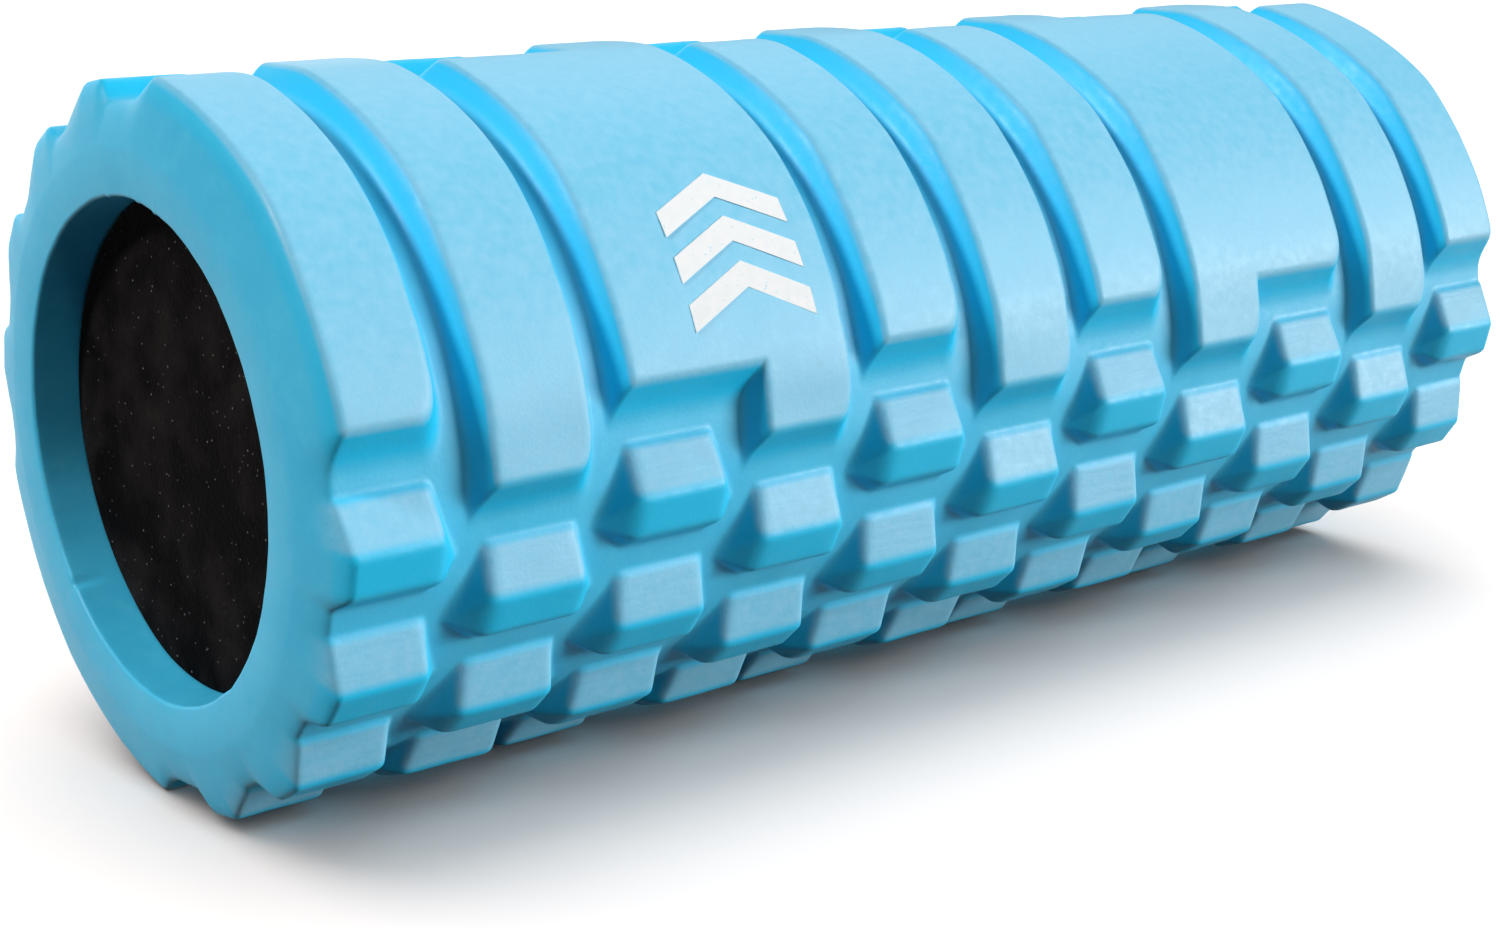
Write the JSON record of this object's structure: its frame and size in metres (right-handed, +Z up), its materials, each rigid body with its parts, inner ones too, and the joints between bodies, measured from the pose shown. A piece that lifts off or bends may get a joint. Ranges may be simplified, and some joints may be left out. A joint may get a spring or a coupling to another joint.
{
  "type": "foam roller",
  "caption": "Foam massage roller: a moulded foam sleeve with ribs, long pads and rows of wedge-shaped knobs, bonded round a solid foam core that stops short of both ends.",
  "frame": {"origin": "on the surface that the roller lies on, under the middle of its length and its axis", "axes": "+X along the roller's axis, away from the end nearer the printed mark; -Y towards the side with the printed mark; +Z up"},
  "size_m": [0.33, 0.1398, 0.1393],
  "materials": {
    "sleeve_foam": "satin moulded closed-cell foam skin",
    "core_foam": "matte cut closed-cell foam",
    "mark_ink": "matte screen-printed ink"
  },
  "bodies": {
    "root": {"foam_sleeve": "sleeve_foam", "foam_core": "core_foam", "printed_mark": "mark_ink"}
  },
  "joints": []
}
